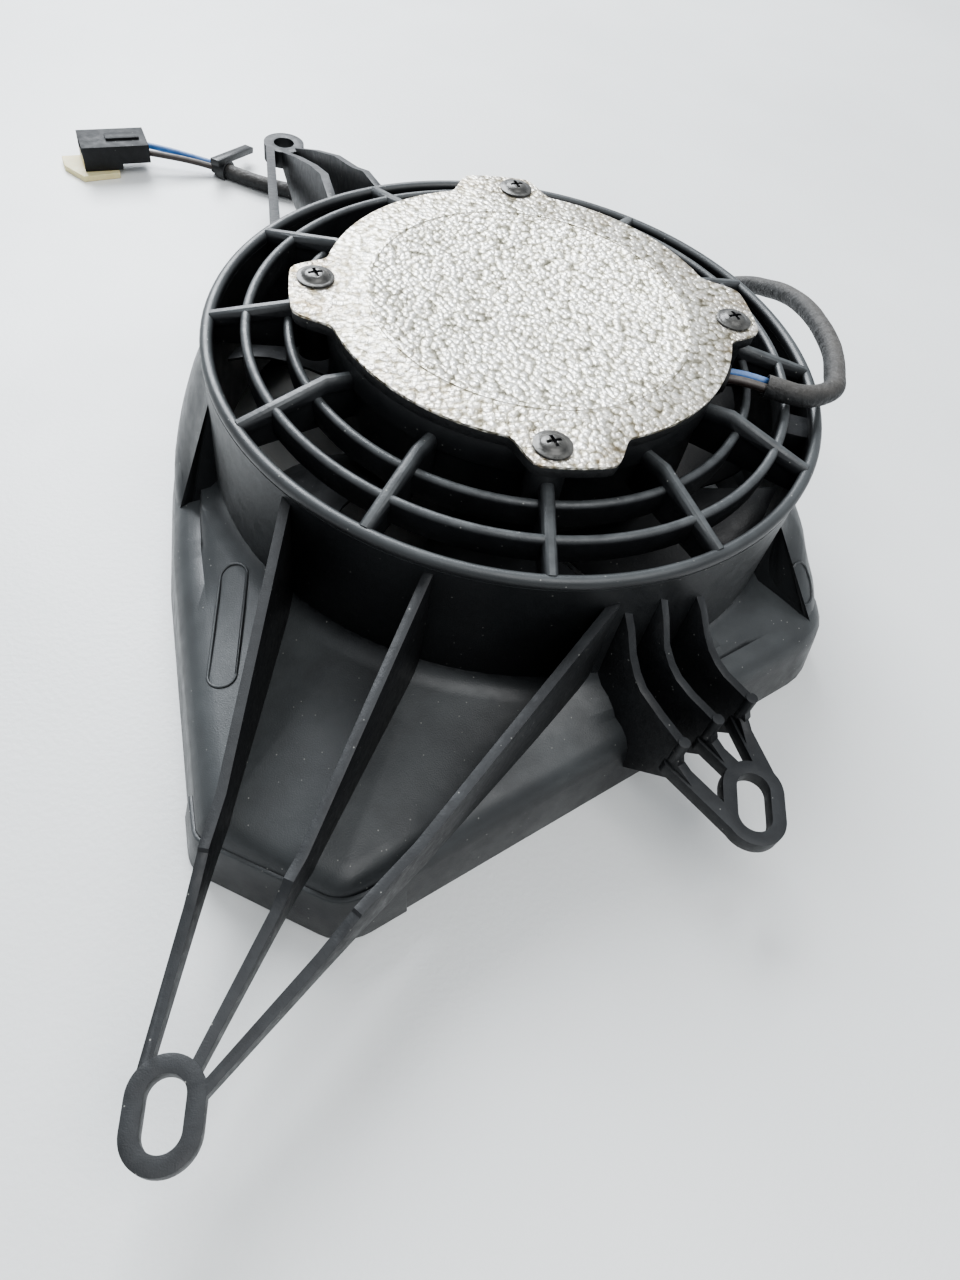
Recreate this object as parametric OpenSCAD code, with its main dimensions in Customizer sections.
// Axial cooling fan with an off-centre air plenum, three slotted mounting arms,
// a sealed brushed motor under a foil heat shield, and a flying lead with a two-way plug.
// Millimetres. Origin on the fan axis, in the plane of the plenum's lower rim. +Z is the motor side.
// +Y runs along the long arm's slot, towards the rear arm.

/* [Duct ring] */
// Outer radius of the duct ring
ring_r = 89; // [86:0.5:96]
// Thickness of the duct ring's wall
ring_wall = 2.5; // [2:0.1:3.5]
// Height of the rim above the plenum's lower rim
rim_z = 69.4; // [66:0.1:76]
// Height of the plenum roof where it meets the ring
roof_z = 25.5; // [22:0.5:28]
// Width of the rolled lip at the rim
lip_w = 3.4; // [2.6:0.1:4.5]

/* [Plenum] */
// Thickness of the plenum's skin
skin = 2.5; // [1.8:0.1:3]
// Height of the roof at its outer edge
crest_z = 21.5; // [18:0.5:24]
// Radius of the shoulder between side wall and roof
shoulder_r = 8.5; // [6:0.5:10]
// Lean of the side wall, in degrees
draft = 10; // [4:1:12]
// Radius of the concave corner between roof and ring
fillet_r = 7; // [4:0.5:9]

/* [Guard] */
// Number of guard spokes
spokes = 12; // [12:12:24]
// Width of a spoke's rounded top
spoke_w = 3.8; // [3:0.1:4.6]
// Places of the two guard hoops, as shares of the gap from the cup to the ring
hoop_at = [0.708, 0.346];
// Width of a guard hoop's rounded top
hoop_w = 2.8; // [2.2:0.1:3.6]
// Height of the guard where the spokes bend
guard_z = 76.2; // [74:0.1:77]

/* [Motor cup] */
// Gap between the motor's can and the moulded cup's wall
can_gap = 5.4; // [4:0.1:7]
// Thickness of the cup's wall
cup_wall = 2.6; // [2:0.1:3.2]
// Height of the cup's underside
cup_z = 46; // [45:0.5:48]
// Height of the cup's top edge
cup_top = 79.2; // [78.6:0.1:80]

/* [Heat shield] */
// How far the shield's round part stands out past the cup
shield_over = 2; // [1:0.1:4]
// How far each ear stands out past the round part
ear_out = 8.6; // [8:0.1:10]
// Thickness of the foil-faced shield
shield_t = 0.8; // [0.5:0.1:1.2]
// Thickness of the black plate under the shield
backing_t = 3; // [2:0.1:3.5]
// How far out from the cup's wall the four shield screws sit
screw_out = 3.7; // [3:0.1:5]
// Head diameter of a shield screw
screw_head_d = 10; // [8:0.5:11]

/* [Mounting arms] */
// Thickness of the mounting eyes
eye_t = 4.3; // [3:0.1:6]
// Height of the mounting eyes' upper face
eye_top = 27; // [26:0.5:29]
// Thickness of the long arm's ribs
rib_t = 2.4; // [1.8:0.1:3]
// X of the long arm's eye
long_eye_x = -77; // [-80:0.5:-74]
// Y of the long arm's eye
long_eye_y = -190; // [-195:1:-186]
// X of the rear arm's eye
rear_eye_x = -82; // [-85:0.5:-79]
// Y of the rear arm's eye
rear_eye_y = 184.5; // [181:0.5:190]
// Diameter of the rear eye's hole
rear_hole_d = 8.5; // [6:0.1:10]
// Thickness of the rear eye
rear_eye_t = 7; // [5:0.5:9]
// Width of the long arm's slot
slot_w = 8; // [6:0.1:9]
// Length of the long arm's slot, end to end
slot_l = 14; // [12:0.5:16]
// Width of the short arm's slot
short_slot_w = 9; // [6:0.1:10]
// Length of the short arm's slot, end to end
short_slot_l = 16.5; // [12:0.5:18]
// Wall round a slot
eye_wall = 3.7; // [3:0.1:5]

/* [Motor] */
// Outer radius of the motor's steel can
can_r = 47; // [45:0.5:49]
// Thickness of the can's steel
can_t = 1.6; // [1:0.1:2]
// Thickness of a ferrite magnet
magnet_t = 5; // [4:0.1:6]
// Gap between armature and magnets
air_gap = 0.8; // [0.5:0.1:1.2]
// Height of the armature's core
core_h = 12; // [10:0.5:13]
// Number of armature slots
core_slots = 16; // [8:1:20]
// Shaft diameter
shaft_d = 8; // [6:0.5:10]
// Radius of the commutator
commutator_r = 11; // [9:0.5:13]

/* [Impeller] */
// Number of blades
blades = 7; // [5:1:9]
// Gap between the blade tips and the duct ring
tip_gap = 3; // [2:0.1:5]
// Radius of the hub
hub_r = 40; // [36:1:44]
// Height of the hub's open lower edge
hub_z = 24; // [20:0.5:26]
// Height of the hub
hub_h = 20; // [16:0.5:20]

/* [Cable] */
// Outer diameter of the lead's sheath
sheath_d = 6.3; // [5:0.1:7]
// Diameter of each lead
lead_d = 2.6; // [2:0.1:3]
// Length of the plug's housing
plug_l = 28; // [26:1:34]
// Width of the plug's housing
plug_w = 16; // [15:0.5:20]
// Height of the plug's housing
plug_h = 10; // [9:0.5:12]

/* [Hidden] */
$fn = 96;

black_nylon = "#26282a";
eps = 0.01;
joint_lap = 0.6;          // how far one moulded region runs into the next
running_gap = 0.05;       // radial clearance of a turning fit
screw_turns = [0, 90, 180, 270];
ring_in = ring_r - ring_wall;
tip_r = ring_in - tip_gap;
cup_r = can_r + can_gap + cup_wall;
shield_r = cup_r + shield_over;
screw_pcr = cup_r + screw_out;

// ---- points and outlines -------------------------------------------------------------------
function unit(v) = v / norm(v);
function mix(a, b, f) = a + (b - a) * f;
function dir(a) = [cos(a), sin(a)];
function angle_of(v) = atan2(v[1], v[0]);
function flat(v) = [v[0], v[1]];
function ease(f) = let (g = min(1, max(0, f))) g * g * (3 - 2 * g);

// A vertical plate: the outline is drawn as [distance from a, height] and stands on the line a to b.
module plate(a, b, thickness, outline) {
  translate([a.x, a.y, 0])
    rotate([0, 0, angle_of(b - a)])
      rotate([90, 0, 0])
        translate([0, 0, -thickness / 2])
          linear_extrude(thickness) polygon(outline);
}

module stadium(w, l, turn = 90) {
  rotate(turn) {
    square([l - w, w], center = true);
    for (s = [-1, 1]) translate([s * (l - w) / 2, 0]) circle(d = w);
  }
}

// A tube of n sides swept along points, with its rings square to the path.
function path_dir(p, i) = unit(p[min(i + 1, len(p) - 1)] - p[max(i - 1, 0)]);
function side_of(d) = unit(cross(d, abs(d.z) > 0.9 ? [1, 0, 0] : [0, 0, 1]));
module sweep(p, d, n = 10) {
  ring = [for (i = [0:len(p) - 1], j = [0:n - 1])
    let (t = path_dir(p, i), u = side_of(t), v = cross(u, t), a = 360 * j / n)
      p[i] + (u * cos(a) + v * sin(a)) * d / 2];
  last = len(p) - 1;
  walls = [for (i = [0:last - 1], j = [0:n - 1], h = [0, 1])
    let (k = (j + 1) % n, a = i * n, b = a + n)
      h == 0 ? [a + j, b + j, a + k] : [a + k, b + j, b + k]];
  ends = [[for (j = [0:n - 1]) j], [for (j = [n - 1:-1:0]) last * n + j]];
  polyhedron(ring, concat(walls, ends));
}

// Catmull-Rom points between the hand-set ones, so that a coarse list sweeps smoothly.
function smooth_at(a, b, c, d, t) = 0.5 * (2 * b + (c - a) * t
  + (2 * a - 5 * b + 4 * c - d) * t * t + (3 * b - a - 3 * c + d) * t * t * t);
function smooth(p, n) = let (m = len(p) - 1) [for (i = [0:m - 1], j = [0:n - 1])
  smooth_at(p[max(i - 1, 0)], p[i], p[i + 1], p[min(i + 2, m)], j / n), p[m]];

// ---- plenum outline: [x, y, corner radius, points on the edge that follows] ------------------
back_r = ring_r + 4;
back_turns = [27.5, 66.5, 105.5];
back_out = back_r / cos(19.5);
plenum_corners = concat(
  [[108, -60, 23, 7]],
  [for (i = [0:2]) [back_out * cos(back_turns[i]), back_out * sin(back_turns[i]), back_r, 0]],
  [[-101, 60, 34, 3], [-106, 5, 120, 3], [-99.5, -45, 120, 7], [-82, -131, 9, 3], [-43.4, -150, 13, 14]]);
corner_steps = 6;
least_corner_r = 1.5;

function corner(i) = plenum_corners[(i + len(plenum_corners)) % len(plenum_corners)];
function inward(i) = let (d = unit(flat(corner(i + 1)) - flat(corner(i)))) [-d.y, d.x];
function inset(i, k) = let (a = inward(i - 1), b = inward(i)) flat(corner(i)) + k * (a + b) / (1 + a * b);
// Points round corner i of the outline moved inwards by k.
function corner_arc(i, k) = let (r = max(corner(i)[2] - k, least_corner_r), c = inset(i, k + r),
    a0 = angle_of(-inward(i - 1)), turn = acos(min(1, inward(i - 1) * inward(i))))
  [for (j = [0:corner_steps]) c + r * dir(a0 + turn * j / corner_steps)];
function edge_points(i, k) = let (a = corner_arc(i, k)[corner_steps], b = corner_arc(i + 1, k)[0],
    n = corner(i)[3])
  n == 0 ? [] : [for (j = [1:n]) mix(a, b, j / (n + 1))];
function outline(k) = [for (i = [0:len(plenum_corners) - 1])
  each concat([for (q = corner_arc(i, k)) q], edge_points(i, k))];
// No point of the roof comes nearer the axis than the radius r.
function keep_out(pts, r) = [for (q = pts) norm(q) < r ? unit(q) * r : q];
function at_height(pts, z) = [for (q = pts) [q.x, q.y, z]];

// One skin of the plenum: side wall, shoulder, roof and the fillet up to the ring. t is the depth
// of this skin below the outer face.
shoulder_steps = 4;
fillet_steps = 3;
function skin_rings(t) = let (r = shoulder_r - t, lean = tan(draft), z0 = crest_z - shoulder_r,
    k0 = t / cos(draft), k1 = k0 + z0 * lean, hold = ring_r - joint_lap,
    edge = keep_out(outline(k1 + r), hold + t / 2), roof = roof_z - t, f = fillet_r + t)
  concat(
    [at_height(keep_out(outline(k0), hold), 0)],
    [for (i = [0:shoulder_steps]) let (a = 90 * i / shoulder_steps)
      at_height(keep_out(outline(k1 + r * (1 - cos(a))), hold + t / 2), z0 + r * sin(a))],
    [[for (q = edge) let (g = unit(q) * min(norm(q), ring_r + f), m = mix(q, g, 0.5))
      [m.x, m.y, mix(crest_z - t, roof, 0.5)]]],
    [for (i = [0:fillet_steps]) let (a = 90 * i / fillet_steps)
      [for (q = edge) let (s = min(1, max(0.1, (norm(q) - hold) / f)),
          g = unit(q) * (hold + (f - joint_lap) * s * (1 - sin(a))))
        [g.x, g.y, roof + (f - joint_lap) * s * (1 - cos(a))]]]);

module shell_between(outer, inner) {
  n = len(outer[0]);
  rows = concat(outer, [for (i = [len(inner) - 1:-1:0]) inner[i]]);
  m = len(rows);
  faces = [for (i = [0:m - 1], j = [0:n - 1], h = [0, 1])
    let (k = (j + 1) % n, a = i * n, b = ((i + 1) % m) * n)
      h == 0 ? [a + j, b + j, a + k] : [a + k, b + j, b + k]];
  polyhedron([for (r = rows) each r], faces);
}

module shroud_plenum() {
  color(black_nylon) shell_between(skin_rings(0), skin_rings(skin));
}

// ---- ramps beside the ring, where the side walls rise to meet it ------------------------------
// Each station: its angle, the height where the ramp meets the ring, then [radius, height] down its
// outer face. The first station is the ramp's cut front face.
left_ramp = [[-165, 59, [92.4, 41], [96.4, 21.4], [100.5, 18.6], [102.5, 12]],
  [-173, 61, [91.5, 54], [97.5, 35], [101, 23], [101.9, 12]],
  [-181, 61.5, [93, 52], [97, 40], [100.2, 28], [102.4, 12]],
  [-190, 61, [93.3, 51], [97.5, 40], [101.3, 28], [103.8, 12]],
  [-199, 60, [93.5, 50], [99, 38.5], [103, 27.5], [106.6, 12]],
  [-209, 57, [94, 47], [100, 36], [105.5, 26], [109.7, 12]],
  [-220, 50, [93, 42], [97, 33], [101, 24], [104.3, 12]],
  [-230, 40, [91, 36], [93.5, 30], [96, 22], [98, 12]]];
right_ramp = [[-31.5, 50, [93.2, 31], [106.5, 23.2], [113, 18.6], [115.6, 12]],
  [-24, 48, [96.3, 40], [103.4, 30], [109.3, 21.5], [112.2, 12]],
  [-16, 46, [94, 39], [98.5, 31], [101.5, 22], [103, 12]],
  [-7, 43, [91.5, 38], [94.3, 30], [96, 21], [96.7, 12]],
  [4, 38, [90.3, 34], [91.6, 27], [92.2, 20], [92.6, 12]],
  [12, 30, [89.6, 28], [90.6, 24], [91.2, 19], [91.8, 12]]];
ramp_steps = 3;           // faces between two stations, and between two points of one

function ramp_profile(s) = concat([[ring_r - joint_lap, s[1]]], [for (i = [2:5]) s[i]]);
// The ramp's underside runs inside the roof's skin, from the side wall back to the ring.
function ramp_station(s) = let (face = smooth(ramp_profile(s), ramp_steps), low = s[5][0], d = dir(s[0]),
    pts = concat(face, [[low - shoulder_r, crest_z - skin / 2], [ring_r - joint_lap, roof_z - skin / 2]]))
  [for (q = pts) [q[0] * d.x, q[0] * d.y, q[1]]];

module ramp(stations, turn) {
  rows = smooth([for (s = stations) ramp_station(s)], ramp_steps);
  n = len(rows[0]);
  last = len(rows) - 1;
  sides = [for (i = [0:last - 1], j = [0:n - 1], h = [0, 1])
    let (k = (j + 1) % n, a = i * n, b = a + n)
      h == 0 ? [a + j, b + j, a + k] : [a + k, b + j, b + k]];
  ends = [for (j = [1:n - 2], h = [0, 1]) h == 0 ? [0, j, j + 1] : [last * n, last * n + j + 1, last * n + j]];
  faces = concat(sides, ends);
  polyhedron([for (r = rows) each r], turn > 0 ? faces : [for (f = faces) [f[2], f[1], f[0]]]);
}

module side_ramps() {
  color(black_nylon) {
    ramp(left_ramp, -1);
    ramp(right_ramp, 1);
  }
}

// ---- band round the nose, a step outside the side wall ---------------------------------------
band_step = 0.9;
band_left = [-84.5, -116];
band_right = [-22, -137.2];
band_h = [13, 19];

module nose_band() {
  lean = tan(draft);
  path = [for (q = outline(0)) if (q.x > band_left.x - 3 && q.x < band_right.x && q.y < band_left.y) q];
  n = len(path);
  function face(k, z) = [for (i = [0:n - 1]) let (
      t = unit(path[min(i + 1, n - 1)] - path[max(i - 1, 0)]), q = path[i] + [-t.y, t.x] * (k + z * lean))
    [q.x, q.y, z]];
  function tall(i) = mix(band_h[0], band_h[1], i / (n - 1)) - 5 * ease(abs(i / (n - 1) - 0.5) * 2 - 0.7);
  low = face(-band_step, 0);
  high = [for (i = [0:n - 1]) face(-band_step, tall(i))[i]];
  in_low = face(joint_lap, 0);
  in_high = [for (i = [0:n - 1]) face(joint_lap, tall(i))[i]];
  rows = [low, high, in_high, in_low];
  skins = [for (i = [0:3], j = [0:n - 2], h = [0, 1])
    let (a = i * n, b = ((i + 1) % 4) * n)
      h == 0 ? [a + j, b + j, a + j + 1] : [a + j + 1, b + j, b + j + 1]];
  ends = [[3 * n, 2 * n, n, 0], [n - 1, 2 * n - 1, 3 * n - 1, 4 * n - 1]];
  color(black_nylon) polyhedron([for (r = rows) each r], concat(skins, ends));
}

// ---- duct ring ---------------------------------------------------------------------------------
module shroud_ring() {
  lip_h = 3;
  a = ring_r - lip_w + 0.4;
  b = ring_r + 0.4;
  color(black_nylon) rotate_extrude()
    difference() {
      union() {
        translate([ring_in, roof_z - skin]) square([ring_wall, rim_z - roof_z + skin - lip_h / 2]);
        translate([0, rim_z]) polygon([[a, -lip_h], [b, -lip_h], [b, -1.3], [b - 0.35, -0.65], [b - 0.95, -0.2],
          [(a + b) / 2, 0], [a + 0.95, -0.2], [a + 0.35, -0.65], [a, -1.3]]);
      }
      translate([ring_in - lip_w, roof_z - skin - 1]) square([lip_w - 1, 1]);
    }
}

// ---- guard -------------------------------------------------------------------------------------
guard_rim_r = ring_r - 1.6;
guard_bend_r = 63;
guard_in_r = cup_r - 0.8;
guard_rim_z = rim_z + 0.4;
guard_in_z = guard_z - 1.2;
spoke_depth = 13;
hoop_top = 71.8;
hoop_depth = 6.5;

// A bar of width w along points in the plane y = 0, with its upper edges eased.
module eased_bar(p, w) {
  section = [[-w / 2, -w / 2], [w / 2, -w / 2], [w / 2, 0], [w * 0.36, w * 0.32], [w * 0.18, w * 0.46],
    [-w * 0.18, w * 0.46], [-w * 0.36, w * 0.32], [-w / 2, 0]];
  n = len(section);
  last = len(p) - 1;
  sides = [for (i = [0:last - 1], j = [0:n - 1], h = [0, 1])
    let (k = (j + 1) % n, a = i * n, b = a + n)
      h == 0 ? [a + j, b + j, a + k] : [a + k, b + j, b + k]];
  ends = [[for (j = [0:n - 1]) j], [for (j = [n - 1:-1:0]) last * n + j]];
  polyhedron([for (q = p, c = section) [q[0], c[0], q[1] + c[1]]], concat(sides, ends));
}

module spoke() {
  r = spoke_w / 2;
  top = [[guard_in_r, guard_in_z - r], [guard_bend_r, guard_z - r], [guard_rim_r, guard_rim_z - r]];
  plate([0, 0], [1, 0], spoke_w * 0.72, [[guard_in_r, guard_in_z - spoke_depth],
    [guard_rim_r, guard_rim_z - spoke_depth + 4], top[2], top[1], top[0]]);
  eased_bar(top, spoke_w);
}

module hoop(r) {
  rotate_extrude() translate([r, hoop_top - hoop_w / 2]) {
    circle(d = hoop_w, $fn = 24);
    polygon([[-hoop_w / 2, 0], [-hoop_w / 3, -hoop_depth], [hoop_w / 3, -hoop_depth], [hoop_w / 2, 0]]);
  }
}

// The pilot holes that the shield screws cut their threads in.
module pilot_holes() {
  for (a = screw_turns) rotate([0, 0, a]) translate([screw_pcr, 0, cup_top - boss_h + 3])
    cylinder(d = pilot_d, h = boss_h, $fn = 32);
}

module guard_grille() {
  color(black_nylon) difference() {
    union() {
      for (i = [0:spokes - 1]) rotate([0, 0, 360 * i / spokes]) spoke();
      for (f = hoop_at) hoop(mix(cup_r, ring_in, f));
    }
    pilot_holes();
  }
}

// ---- motor cup ---------------------------------------------------------------------------------
cup_floor = 2.5;
cup_bore_r = 14;
boss_r = 5;
boss_h = 19;
screw_d = 4;
pilot_d = 3.4;
gland_turn = -16;
gland_z = 75.2;
gland_r = 4;

module cup_outline() {
  in_r = cup_r - cup_wall;
  polygon([[cup_bore_r, cup_z], [cup_r - 3, cup_z], [cup_r, cup_z + 3], [cup_r, cup_top - 9],
    [cup_r + 1, cup_top - 8], [cup_r + 1, cup_top], [in_r, cup_top], [in_r, cup_z + cup_floor],
    [cup_bore_r, cup_z + cup_floor]]);
}

module motor_cup() {
  color(black_nylon) difference() {
    union() {
      rotate_extrude() cup_outline();
      for (a = screw_turns) rotate([0, 0, a]) translate([screw_pcr, 0, cup_top - boss_h])
        cylinder(r = boss_r, h = boss_h, $fn = 32);
    }
    translate([0, 0, cup_z + cup_floor]) cylinder(r = cup_r - cup_wall, h = cup_top);
    pilot_holes();
    for (a = can_screw_turns) rotate([0, 0, a]) translate([can_screw_r, 0, cup_z - 1])
      cylinder(d = can_screw_d + 0.6, h = cup_floor + 2, $fn = 32);
    rotate([0, 0, gland_turn]) translate([cup_r - cup_wall - 2, 0, gland_z]) rotate([0, 90, 0])
      cylinder(r = gland_r - 0.8, h = cup_wall + 5, $fn = 32);
  }
}

// ---- arms --------------------------------------------------------------------------------------
on_ring = ring_r - joint_lap;
eye_low = eye_top - eye_t;
sunk = 0.35;              // ribs stop this far inside the eyes' two faces
long_eye = [long_eye_x, long_eye_y];
rear_eye = [rear_eye_x, rear_eye_y];
short_eye = [58.5, -123];
long_turns = [225.3, 251.5, 281.7];     // where the long arm's ribs start on the ring
long_top = [64, 64.7, 60];              // height of each rib's start
long_end = [[-5, 7], [4.6, 7.2], [5.8, 2.4]]; // where each rib meets the eye, from its centre
long_reach = [[65, 79, 90], [63, 70, 76], [70, 90.5, 101]]; // bend, step and second bend from the start
bend_top = 34.5;
step_top = 35;
step_drop = 0.9;

module eye(w, l, wall, turn = 90) {
  difference() {
    stadium(w + 2 * wall, l + 2 * wall, turn);
    stadium(w, l, turn);
  }
}

module long_rib(i) {
  a = on_ring * dir(long_turns[i]);
  b = long_eye + long_end[i];
  span = norm(b - a);
  s = long_reach[i];
  plate(a, b, rib_t, [[0, roof_z - 1], [s[0] - 4, crest_z - 1.6], [s[1] - 2, crest_z + 1],
    [s[2], eye_low + sunk], [span, eye_low + sunk], [span, eye_top - sunk], [s[2], step_top - 4.4], [s[1], step_top - step_drop],
    [s[1] - 0.6, step_top], [s[0], bend_top], [0, long_top[i]]]);
}

module long_arm() {
  color(black_nylon) {
    translate([long_eye.x, long_eye.y, eye_low]) linear_extrude(eye_t) eye(slot_w, slot_l, eye_wall);
    difference() {
      for (i = [0:2]) long_rib(i);
      translate([long_eye.x, long_eye.y, 0]) linear_extrude(rim_z) stadium(slot_w + 1, slot_l + 1);
    }
  }
}

short_turns = [284.6, 290.6, 299.2];
short_top = [56, 59, 54];
short_peg = [[38.4, -112], [48.9, -104.8], [59.7, -98]]; // top of the step on each rib
short_end = [[-4.3, -8.6], [-2, 8.5], [6.7, 2.6]]; // where each band runs into the eye, from its centre
band_w = 4.2;
peg_top = 36.5;
foot_top = 29.5;
foot_run = 9;                   // how far a foot slopes down from its rib onto the band
peg_d = 3.2;

module short_rib(i) {
  a = on_ring * dir(short_turns[i]);
  p = short_peg[i];
  s = norm(p - a);
  wall = s - 10;
  plate(a, p, rib_t, [[0, roof_z - 1], [wall - 6, crest_z - 1.4], [wall - 2.6, crest_z - 6], [wall - 1.4, 7],
    [s + 2.4, eye_low], [s + 2.4, foot_top], [s + 0.2, peg_top - 3], [s, peg_top], [s - 9, peg_top + 0.7],
    [14, 38.6], [10.5, 41], [7, 45], [3.4, mix(47, short_top[i], 0.5)], [0, short_top[i]]]);
  translate([p.x, p.y, foot_top - 1]) cylinder(d = peg_d, h = peg_top + 1.6 - foot_top, $fn = 24);
}

module short_foot(i) {
  p = short_peg[i];
  q = short_eye + short_end[i];
  plate(p, q, rib_t + 0.2, [[1, eye_low + 1], [foot_run, eye_low + 1], [foot_run, eye_top - sunk],
    [2.6, foot_top - sunk], [1, foot_top - sunk]]);
}

module short_arm() {
  color(black_nylon) {
    for (i = [0:2]) short_rib(i);
    translate([0, 0, eye_low]) linear_extrude(eye_t) difference() {
      union() {
        translate(short_eye) stadium(short_slot_w + 2 * eye_wall, short_slot_l + 2 * eye_wall, -100);
        for (i = [0:2]) hull() for (c = [short_peg[i], short_eye + short_end[i]]) translate(c) circle(d = band_w);
      }
      translate(short_eye) stadium(short_slot_w, short_slot_l, -100);
    }
    for (i = [0:2]) short_foot(i);
  }
}

rear_turns = [146, 129, 117.5];
rear_top = [60, 64, 67];
rear_foot = [42, 36, 30];
rear_end = [[-5.6, -3], [1, -7], [5.8, -2.5]];
rear_rise = [[[52, 46], [84, 36]], [[22, 64.5], [42, 57], [74, 43.5]], [[18, 64.4], [30, 59.5], [52, 52.5], [80, 40.5]]];
rear_rib_t = [rib_t + 1, rib_t + 0.4, rib_t];

module rear_arm() {
  low = eye_top - rear_eye_t;
  color(black_nylon) {
    translate([rear_eye.x, rear_eye.y, low]) difference() {
      cylinder(d = rear_hole_d + 2 * eye_wall + 1, h = rear_eye_t);
      translate([0, 0, -1]) cylinder(d = rear_hole_d, h = rear_eye_t + 2);
    }
    difference() {
      for (i = [0:2]) {
        a = on_ring * dir(rear_turns[i]);
        b = rear_eye + rear_end[i];
        span = norm(b - a);
        rise = [for (j = [len(rear_rise[i]) - 1:-1:0]) rear_rise[i][j]];
        plate(a, b, rear_rib_t[i], concat([[0, rear_foot[i]], [span - 30, low + sunk],
          [span, low + sunk], [span, eye_top - sunk]], rise, [[0, rear_top[i]]]));
      }
      translate([rear_eye.x, rear_eye.y, 0]) cylinder(d = rear_hole_d + 1, h = rim_z);
    }
  }
}

// ---- moulded guide on the ring's inner face, which keeps the lead off the impeller -------------
guide_turn = -14.5;
guide_top = rim_z - 4.4;
guide_in_r = ring_in - 7;
guide_w = 9.5;
guide_gap = 3;                  // clearance above the blade tips

module cable_guide() {
  h = guide_top - tip_z[1] - guide_gap;
  color(black_nylon) rotate([0, 0, guide_turn]) translate([guide_in_r, -guide_w / 2, guide_top - h])
    cube([ring_in - guide_in_r + joint_lap, guide_w, h]);
}

// ---- heat shield -------------------------------------------------------------------------------
ear_from = -11;
ear_to = 21.5;
function ear(a) = let (d = ((a + 45) % 90) - 45) ease((d - ear_from) / 8) * ease((ear_to - d) / 9);
function shield_edge(grow) = [for (i = [0:239]) let (a = i * 1.5 - 45 + 360)
  (shield_r + grow + ear_out * ear(a)) * dir(a)];
shield_z = cup_top + backing_t;
emboss_r = 45;

module heat_shield() {
  clear = 0.4;
  color("#c9c7bf") translate([0, 0, shield_z]) difference() {
    union() {
      linear_extrude(shield_t) polygon(shield_edge(0));
      rotate_extrude() translate([emboss_r - 0.6, shield_t - eps]) square([1.2, 0.3]);
    }
    for (a = screw_turns) rotate([0, 0, a]) translate([screw_pcr, 0, -1])
      cylinder(d = screw_d + clear, h = shield_t + 2, $fn = 32);
  }
}

module shield_backing() {
  clear = 0.4;
  spigot_h = 0.7;
  color("#1b1c1d") translate([0, 0, cup_top]) difference() {
    union() {
      linear_extrude(backing_t) polygon(shield_edge(-0.4));
      translate([0, 0, -spigot_h]) cylinder(r = cup_r - cup_wall - 0.3, h = spigot_h + eps);
    }
    translate([0, 0, -2]) cylinder(r = can_r - 3, h = backing_t + 0.6);
    for (a = screw_turns) rotate([0, 0, a]) translate([screw_pcr, 0, -2])
      cylinder(d = screw_d + clear, h = backing_t + 4, $fn = 32);
  }
}

module phillips(d, depth) {
  for (a = [0, 90]) rotate([0, 0, a]) translate([-d / 2, -d / 9, 0]) cube([d, d / 4.5, depth]);
}

module shield_screws() {
  head_h = 1.9;
  color("#202122") for (a = screw_turns) rotate([0, 0, a])
    translate([screw_pcr, 0, shield_z + shield_t]) difference() {
      union() {
        rotate_extrude($fn = 48) polygon([[0, 0], [screw_head_d / 2, 0], [screw_head_d / 2, 0.6],
          [screw_head_d / 2 - 1.2, 0.8], [screw_head_d / 2 - 2.2, head_h - 0.3], [1.4, head_h], [0, head_h]]);
        translate([0, 0, -14]) cylinder(d = screw_d, h = 14 + eps, $fn = 32);
      }
      translate([0, 0, head_h - 1.3]) rotate([0, 0, 20]) phillips(4, 2);
    }
}

// ---- motor -------------------------------------------------------------------------------------
can_z = cup_z + cup_floor;
can_h = 27.6;
can_in = can_r - can_t;
race_r = 11;
race_h = 6;
can_screw_turns = [45, 165, 285];
can_screw_d = 4;
can_screw_r = can_r - 18;
bearing_z = can_z - 1.5;
core_r = can_in - magnet_t - air_gap;
core_z = can_z + 6.5;
shaft_r = shaft_d / 2;
shaft_top = can_z + can_h + 2.4;
shaft_low = hub_z + 1.6;   // the clip below the hub's socket goes round this end
card_z = core_z + core_h + 6.4;
card_t = 1.6;

module motor_can() {
  color("#8d9093") difference() {
    union() {
      translate([0, 0, can_z]) cylinder(r = can_r, h = can_h);
      translate([0, 0, bearing_z - 1]) cylinder(r = race_r + can_t, h = can_z + can_t - bearing_z);
    }
    translate([0, 0, can_z + can_t]) cylinder(r = can_in, h = can_h);
    translate([0, 0, bearing_z]) cylinder(r = race_r, h = race_h + 3);
    translate([0, 0, bearing_z - 2]) cylinder(r = race_r - 1.5, h = race_h, $fn = 64);
    for (a = can_screw_turns) rotate([0, 0, a]) translate([can_screw_r, 0, can_z - 1])
      cylinder(d = can_screw_d - 0.4, h = can_t + 2, $fn = 32);
  }
}

module can_screws() {
  color("#5d6063") for (a = can_screw_turns) rotate([0, 0, a]) translate([can_screw_r, 0, cup_z]) {
    translate([0, 0, -1.6]) cylinder(r = can_screw_d * 0.85, h = 1.6, $fn = 6);
    cylinder(d = can_screw_d, h = cup_floor + can_t, $fn = 32);
  }
}

bush_r = 6;
module motor_end_plate() {
  z = can_z + can_h;
  color("#8d9093") difference() {
    union() {
      translate([0, 0, z]) cylinder(r = can_r, h = can_t);
      translate([0, 0, z - 1]) cylinder(r = bush_r + 2, h = can_t + 2);
    }
    translate([0, 0, z - 2]) cylinder(r = bush_r, h = can_t + 5);
  }
}

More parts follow.
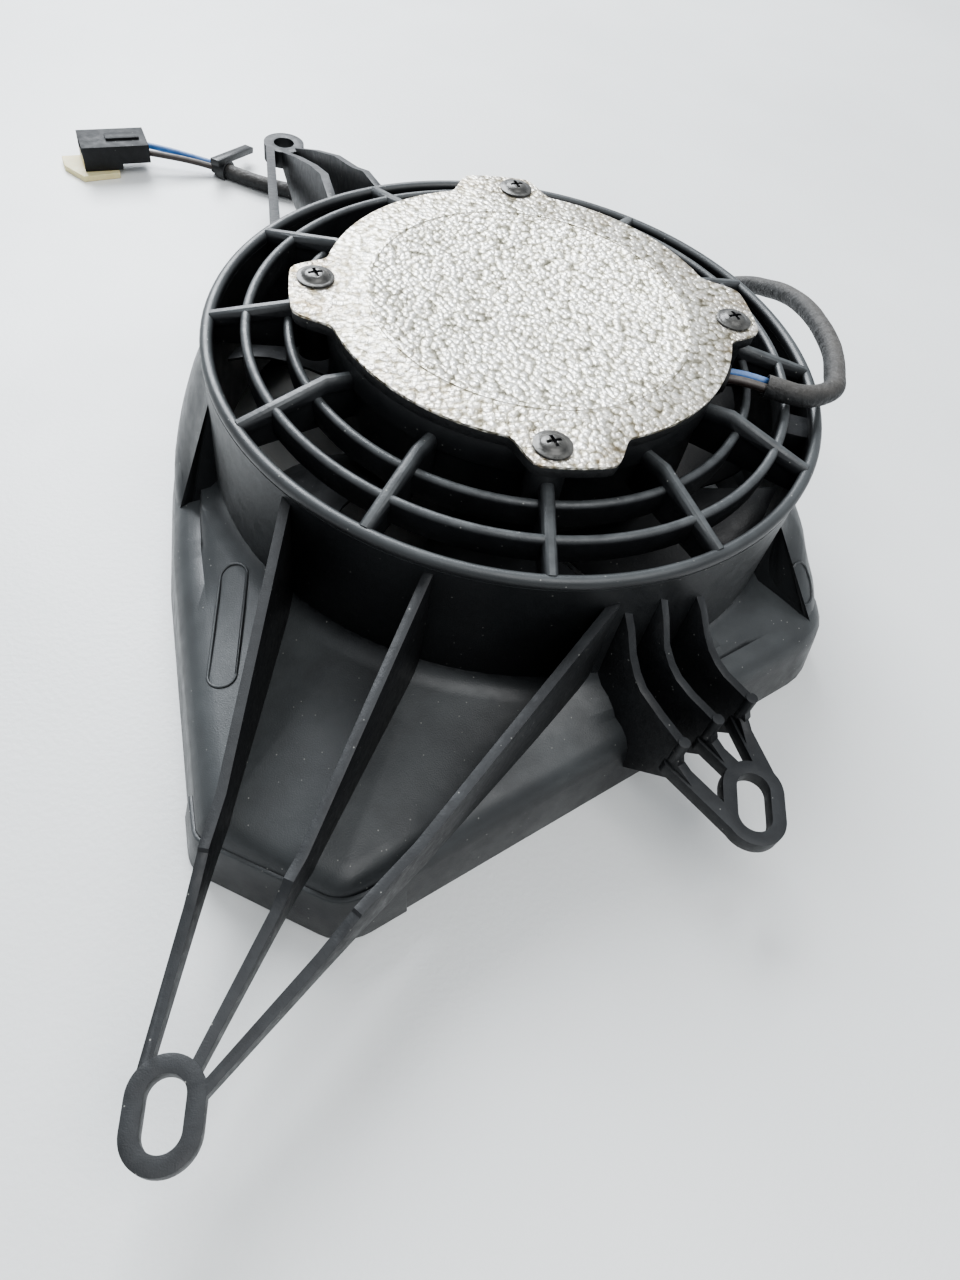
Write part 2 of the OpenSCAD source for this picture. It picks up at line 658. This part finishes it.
module rear_bush() {
  color("#a8763a") translate([0, 0, can_z + can_h - 1]) difference() {
    cylinder(r = bush_r, h = can_t + 2);
    translate([0, 0, -1]) cylinder(r = shaft_r + running_gap, h = can_t + 5);
  }
}

module magnets() {
  color("#3c3d40") for (a = [0:90:270]) rotate([0, 0, a + 8])
    translate([0, 0, core_z - 2]) rotate_extrude(angle = 74)
      translate([can_in - magnet_t, 0]) square([magnet_t, core_h + 4]);
}

function race_mid() = (race_r + shaft_r) / 2;
ball_r = 2;
race_step = 0.25;
module race(inner, outer, groove) {
  rotate_extrude() difference() {
    translate([inner, 0]) square([outer - inner, race_h]);
    translate([groove, race_h / 2]) circle(r = ball_r + running_gap, $fn = 32);
  }
}

module bearing_outer_race() {
  color("#b9bcc0") translate([0, 0, bearing_z]) race(race_mid() + ball_r - race_step * 3, race_r, race_mid());
}

module bearing_inner_race() {
  color("#b9bcc0") translate([0, 0, bearing_z]) race(shaft_r, race_mid() - ball_r + race_step * 3, race_mid());
}

module bearing_balls() {
  color("#c9ccd0") for (i = [0:6]) rotate([0, 0, i * 360 / 7])
    translate([race_mid(), 0, bearing_z + race_h / 2]) sphere(r = ball_r, $fn = 24);
}

module wave_washer() {
  z = bearing_z + race_h;
  color("#9a9da1") translate([0, 0, z]) difference() {
    cylinder(r = race_r - 0.4, h = 0.8);
    translate([0, 0, -1]) cylinder(r = race_r - 3, h = 3);
  }
}

module motor_shaft() {
  color("#a9adb2") difference() {
    translate([0, 0, shaft_low]) cylinder(r = shaft_r, h = shaft_top - shaft_low);
    translate([0, 0, pin_z]) rotate([0, 90, 0]) cylinder(d = pin_d, h = shaft_d * 2, center = true, $fn = 32);
    translate([0, 0, shaft_low + 2]) difference() {
      cylinder(r = shaft_d, h = 0.9);
      translate([0, 0, -1]) cylinder(r = shaft_r - 0.6, h = 3);
    }
  }
}

module armature_core() {
  tooth = 2 * PI * core_r / core_slots;
  color("#6c6f73") translate([0, 0, core_z]) difference() {
    cylinder(r = core_r, h = core_h);
    translate([0, 0, -1]) cylinder(r = shaft_r, h = core_h + 2);
    for (i = [0:core_slots - 1]) rotate([0, 0, i * 360 / core_slots]) {
      translate([core_r - 11, -tooth / 4, -1]) cube([9, tooth / 2, core_h + 2]);
      translate([core_r - 3, -1, -1]) cube([5, 2, core_h + 2]);
    }
  }
}

module armature_windings() {
  in_r = commutator_r + 5;
  out_r = core_r - 2.5;
  coil_h = 3.6;
  color("#8a4a22") for (z = [core_z - coil_h, core_z + core_h]) translate([0, 0, z])
    rotate_extrude() translate([in_r, 0]) polygon([[1.4, 0], [out_r - in_r - 1.4, 0], [out_r - in_r, 1.2],
      [out_r - in_r, coil_h - 1.2], [out_r - in_r - 1.4, coil_h], [1.4, coil_h], [0, coil_h - 1.2], [0, 1.2]]);
}

module commutator() {
  bars = 16;
  h = 8;
  color("#b87333") translate([0, 0, core_z + core_h]) difference() {
    cylinder(r = commutator_r, h = h);
    translate([0, 0, -1]) cylinder(r = shaft_r, h = h + 2);
    for (i = [0:bars - 1]) rotate([0, 0, i * 360 / bars])
      translate([commutator_r - 1, -0.25, -1]) cube([3, 0.5, h + 2]);
  }
}

brush_turns = [45, 135, 225, 315];
brush_w = 4;
brush_l = 9;
brush_in = commutator_r + 0.3;
brush_z = core_z + core_h + 4.3;
module brush_card() {
  color("#4a3b2c") difference() {
    translate([0, 0, card_z]) cylinder(r = can_in - 0.3, h = card_t);
    translate([0, 0, card_z - 1]) cylinder(r = commutator_r + 0.6, h = card_t + 2);
  }
}

module at_brush(r) {
  for (a = brush_turns) rotate([0, 0, a]) translate([r, 0, brush_z]) children();
}

module brushes() {
  color("#2b2b2d") at_brush(brush_in) translate([0, -brush_w / 2, 0]) cube([brush_l, brush_w, card_z - brush_z]);
}

module brush_springs() {
  d = card_z - brush_z - 0.3;
  color("#b0b3b7") at_brush(brush_in + brush_l) translate([0, 0, d / 2]) rotate([0, 90, 0])
    difference() {
      cylinder(d = d, h = 6, $fn = 24);
      translate([0, 0, -1]) cylinder(d = d - 0.9, h = 8, $fn = 24);
    }
}

choke_d = 2.2;
module noise_chokes() {
  color("#5a5d60") for (a = [0, 180]) rotate([0, 0, a]) translate([30, -5, card_z - choke_d / 2 - 0.1])
    rotate([-90, 0, 0]) cylinder(d = choke_d, h = 10, $fn = 32);
}

// ---- impeller ----------------------------------------------------------------------------------
hub_wall = 2.2;
socket_r = 8;
pin_z = hub_z + 12;
pin_d = 2;
blade_steps = 8;
blade_t = 2.2;
root_z = [hub_z + 3, hub_z + 18];
guard_room = 15.4;    // from the blade tips up to the rim
tip_z = [32, rim_z - guard_room];
blade_arc = 38;       // how far round the axis a blade reaches
blade_sweep = 12;     // how far the tip leads the root

// Corners of one blade's section at fraction f of its span: low and high edge, both faces.
function blade_station(f) = let (r = mix(hub_r - 1, tip_r, f), arc = blade_arc * (1 - 0.28 * f),
    z = [mix(root_z[0], tip_z[0], f), mix(root_z[1], tip_z[1], ease(f))], turn = blade_sweep * f * f)
  [for (s = [0:4]) let (g = s / 4, a = turn + arc * (g - 0.5), bow = 1.5 * sin(180 * g))
    [r * cos(a), r * sin(a), mix(z[0], z[1], g) + bow]];

module blade() {
  n = 10;
  top = [for (i = [0:blade_steps]) blade_station(i / blade_steps)];
  half = [0, blade_t / 2, blade_t / 2, blade_t / 2, 0.3];
  pts = [for (i = [0:blade_steps]) each concat(
    [for (s = [0:4]) top[i][s] + [0, 0, max(0.4, half[s])]],
    [for (s = [4:-1:0]) top[i][s] - [0, 0, max(0.4, half[s])]])];
  skins = [for (i = [0:blade_steps - 1], j = [0:n - 1], h = [0, 1])
    let (k = (j + 1) % n, a = i * n, b = a + n)
      h == 0 ? [a + j, a + k, b + j] : [a + k, b + k, b + j]];
  ends = [[for (j = [n - 1:-1:0]) j], [for (j = [0:n - 1]) blade_steps * n + j]];
  polyhedron(pts, concat(skins, ends));
}

module impeller() {
  color("#1f2022") {
    difference() {
      union() {
        rotate_extrude() polygon([[0, hub_z + hub_h], [hub_r - 4, hub_z + hub_h], [hub_r, hub_z + hub_h - 4],
          [hub_r, hub_z], [hub_r - hub_wall, hub_z], [hub_r - hub_wall, hub_z + hub_h - 5],
          [hub_r - 5, hub_z + hub_h - hub_wall], [socket_r, hub_z + hub_h - hub_wall],
          [socket_r, hub_z + 5], [0, hub_z + 5]]);
        for (i = [0:5]) rotate([0, 0, i * 60])
          translate([socket_r - 1, -1, hub_z + 9]) cube([hub_r - socket_r - 0.5, 2, hub_h - 10]);
      }
      translate([0, 0, hub_z - 1]) cylinder(r = shaft_r, h = hub_h + 2);
      translate([0, 0, pin_z]) rotate([0, 90, 0]) cylinder(d = pin_d, h = 2 * socket_r - 3, center = true, $fn = 32);
    }
    difference() {
      for (i = [0:blades - 1]) rotate([0, 0, i * 360 / blades]) blade();
      translate([0, 0, hub_z - 1]) cylinder(r = hub_r - 0.4, h = hub_h + 20);
    }
  }
}

module drive_pin() {
  color("#a9adb2") translate([0, 0, pin_z]) rotate([0, 90, 0])
    cylinder(d = pin_d, h = 2 * socket_r - 3.2, center = true, $fn = 32);
}

module hub_clip() {
  color("#8d9093") translate([0, 0, shaft_low + 2 + 0.05]) difference() {
    cylinder(r = shaft_r + 2.2, h = 0.8);
    translate([0, 0, -1]) cylinder(r = shaft_r - 0.6, h = 3);
    translate([0, -1.6, -1]) cube([shaft_d, 3.2, 3]);
  }
}

// ---- lead --------------------------------------------------------------------------------------
// Route of the sheath's centre line: out over the rim, down behind the ring, along the surface.
sheath_route = [[66.6, -19, 76.2], [71, -20.4, 76], [75, -21, 75.6], [79, -20.6, 75], [83, -18.9, 74.3],
  [86.8, -16.6, 73.8], [90.2, -13.4, 73.1], [92.3, -9.9, 72.2], [94.2, -5, 71.2], [96.4, 0.6, 70.1],
  [98.6, 7, 69], [100.5, 14.2, 67.8], [102, 23.4, 66.2], [103.4, 33.1, 64], [104.3, 42, 61.8],
  [104.8, 51.4, 59], [104.8, 60, 56], [104, 68, 52.8], [103, 76, 48.8], [101.6, 84.5, 44.4], [100, 93, 39],
  [97.6, 102, 32.4], [94, 112, 24.4], [88, 122, 16], [79, 132, 8.6], [68, 139.5, 4.6], [56, 145, 3.4],
  [42, 148.5, 3.3], [28, 150.5, 3.3], [14, 152, 3.3], [0, 154.5, 3.3], [-14, 158.5, 3.3], [-28, 164, 3.3],
  [-41, 171, 3.3], [-53, 178, 3.3], [-65, 184, 3.3], [-78, 189, 3.3], [-91, 192.6, 3.3], [-104, 198, 3.3],
  [-115, 204, 3.4]];
lead_gap = lead_d / 2 + 0.12;
lock_t = 2.4;
lock_slot = 0.3;                // clearance between the housing and its lock
plug_at = [-144.5, 204, plug_h / 2 + lock_slot + lock_t + 0.1]; // centre of the plug's rear face
plug_turn = 200;
plug_dir = [cos(plug_turn), sin(plug_turn), 0];
bare_end = 1.2;                 // how far the leads run inside the sheath's mouth

module lead_gland() {
  color("#161718") rotate([0, 0, gland_turn]) translate([cup_r - cup_wall - 0.8, 0, gland_z]) rotate([0, 90, 0])
    difference() {
      union() {
        cylinder(r = gland_r - 0.8, h = cup_wall + 2, $fn = 32);
        translate([0, 0, cup_wall + 0.8 + 1]) cylinder(r = gland_r, h = 2.4, $fn = 32);
      }
      for (s = [-1, 1]) translate([0, s * lead_gap, -1]) cylinder(d = lead_d, h = 10, $fn = 24);
    }
}

module motor_leads() {
  in_dir = unit(sheath_route[0] - sheath_route[1]);
  across = [sin(gland_turn), -cos(gland_turn), 0];
  start = [(cup_r - 2) * cos(gland_turn), (cup_r - 2) * sin(gland_turn), gland_z];
  color("#2f5e96") for (s = [-1, 1])
    sweep([for (f = [0:0.25:1]) mix(start, sheath_route[0] - in_dir * bare_end, f)
      + across * s * lead_gap + [0, 0, 0.8 * sin(180 * f)]], lead_d, 8);
}

module cable_sheath() {
  color("#2a2b2c") sweep(smooth(sheath_route, 2), sheath_d, 10);
}

module plug_leads() {
  last = sheath_route[len(sheath_route) - 1];
  back_dir = unit(last - sheath_route[len(sheath_route) - 2]);
  side = [back_dir.y, -back_dir.x, 0];
  plug_side = [plug_dir.y, -plug_dir.x, 0];
  from = last - back_dir * bare_end;
  to = plug_at + plug_dir * 2;
  color("#2f5e96") for (s = [-1, 1])
    sweep([for (f = [0:0.125:1]) let (c = smooth_at(from - back_dir * 26, from, to, to + plug_dir * 26, f))
      c + mix(side * lead_gap, plug_side * plug_w / 4.6, f) * s], lead_d, 8);
}

module cable_clip() {
  last = sheath_route[len(sheath_route) - 1];
  back_dir = unit(last - sheath_route[len(sheath_route) - 2]);
  c = last - back_dir * 5;
  strap_w = 5;
  color("#141516") translate(c) rotate([0, 0, angle_of(back_dir)]) {
    rotate([0, 90, 0]) difference() {
      cylinder(d = sheath_d + 2.6, h = strap_w, center = true, $fn = 32);
      cylinder(d = sheath_d, h = strap_w + 2, center = true, $fn = 32);
      translate([sheath_d / 2 - 0.3, -sheath_d, -strap_w]) cube([4, 2 * sheath_d, 2 * strap_w]);
    }
    translate([0, 0, sheath_d / 2 + 0.4]) rotate([8, 0, 0]) translate([-strap_w / 2 + 0.3, -20, 0])
      cube([strap_w - 0.6, 27, 2.4]);
  }
}

// The plug stands on its own frame: x out of the rear face, y across, z up, origin at the rear face.
module at_plug() {
  translate(plug_at) rotate([0, 0, plug_turn]) children();
}

cavity_d = 5;
mouth_w = plug_w - 2.6;         // inside width of the plug's mating mouth
insert_h = 4.2;                 // height of the lock's front block
rear_step = 12;                 // how far the shallow rear half reaches
module plug_housing() {
  z0 = -plug_h / 2;
  z1 = z0 + insert_h;
  color("#1a1b1d") at_plug() difference() {
    union() {
      translate([0, -plug_w / 2, z0 + 2.4]) cube([rear_step + 1, plug_w, plug_h - 2.4]);
      translate([rear_step, -plug_w / 2, z0]) cube([plug_l - rear_step, plug_w, plug_h]);
      translate([3, -2.4, z0 + plug_h - eps]) cube([14, 4.8, 0.9]);
    }
    for (s = [-1, 1]) translate([-1, s * plug_w / 4.6, 0]) rotate([0, 90, 0]) cylinder(d = cavity_d, h = plug_l, $fn = 32);
    for (s = [-1, 1]) translate([plug_l - 9, s * plug_w / 4.6 - 2.9, z1 + 0.3]) cube([10, 5.8, plug_h - insert_h - 1.3]);
    translate([rear_step + 4, -mouth_w / 2, z0 - 1]) cube([plug_l, mouth_w, insert_h + 1]);
  }
}

module plug_lock() {
  z0 = -plug_h / 2 - lock_slot;
  block_l = 7;
  color("#d8cfae") at_plug() {
    translate([0, 0, z0 - lock_t]) linear_extrude(lock_t)
      polygon([[14, -7], [36, -7], [36, 1], [29.5, 11.5], [14, 10]]);
    difference() {
      translate([plug_l - block_l, -mouth_w / 2 + lock_slot, z0 - eps])
        cube([block_l, mouth_w - 2 * lock_slot, insert_h - 0.1]);
      for (s = [-1, 1]) translate([plug_l - 5, s * plug_w / 4.6 - 1.3, z0 + 1]) cube([6, 2.6, 2]);
    }
  }
}

module wire_seals() {
  color("#6d3b2a") at_plug() for (s = [-1, 1]) translate([0.4, s * plug_w / 4.6, 0]) rotate([0, 90, 0])
    difference() {
      cylinder(d = cavity_d, h = 5, $fn = 32);
      translate([0, 0, -1]) cylinder(d = lead_d, h = 8, $fn = 24);
    }
}

module plug_terminals() {
  color("#c3c4bf") at_plug() for (s = [-1, 1]) translate([7, s * plug_w / 4.6 - 1.5, -0.2]) cube([plug_l - 12, 3, 1.6]);
}

shroud_plenum();
side_ramps();
nose_band();
shroud_ring();
guard_grille();
motor_cup();
long_arm();
short_arm();
rear_arm();
cable_guide();
heat_shield();
shield_backing();
shield_screws();
motor_can();
can_screws();
motor_end_plate();
magnets();
brush_card();
brushes();
brush_springs();
noise_chokes();
rear_bush();
wave_washer();
bearing_outer_race();
bearing_balls();
bearing_inner_race();
motor_shaft();
armature_core();
armature_windings();
commutator();
impeller();
drive_pin();
hub_clip();
lead_gland();
motor_leads();
cable_sheath();
cable_clip();
plug_leads();
wire_seals();
plug_terminals();
plug_housing();
plug_lock();
